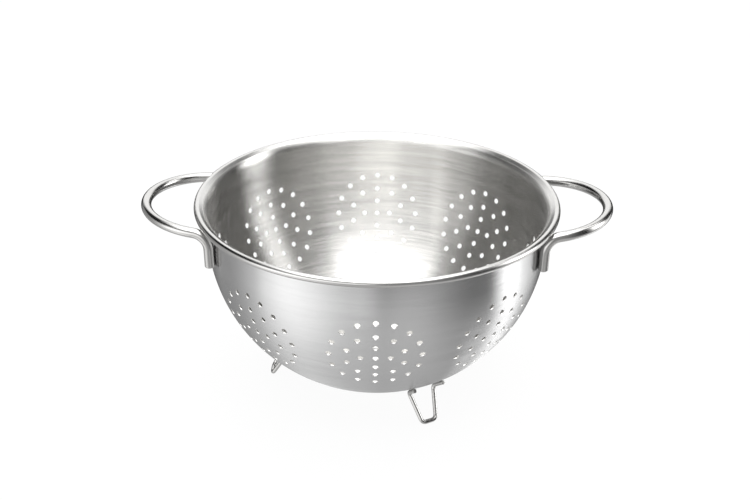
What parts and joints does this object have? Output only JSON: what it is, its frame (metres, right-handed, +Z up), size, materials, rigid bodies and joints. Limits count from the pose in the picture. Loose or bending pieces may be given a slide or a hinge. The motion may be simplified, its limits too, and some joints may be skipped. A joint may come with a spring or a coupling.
{
  "type": "colander",
  "caption": "Round stainless steel colander: a deep perforated bowl with a rolled rim, looped wire handles and short wire feet.",
  "frame": {"origin": "on the surface that the feet stand on, under the middle of the bowl", "axes": "+Z up along the bowl's axis, +X towards the right handle, -Y towards the viewer, between two feet on the right and one on the left"},
  "size_m": [0.3286, 0.2542, 0.1434],
  "materials": {
    "bowl_steel": "satin, with fine rings of brushing round the axis and a polished rim",
    "handle_steel": "polished bare stainless steel wire",
    "foot_steel": "polished bare stainless steel wire"
  },
  "bodies": {
    "root": {"bowl": "bowl_steel", "handle_left": "handle_steel", "handle_right": "handle_steel", "foot_left": "foot_steel", "foot_front_right": "foot_steel", "foot_back_right": "foot_steel"}
  },
  "joints": []
}
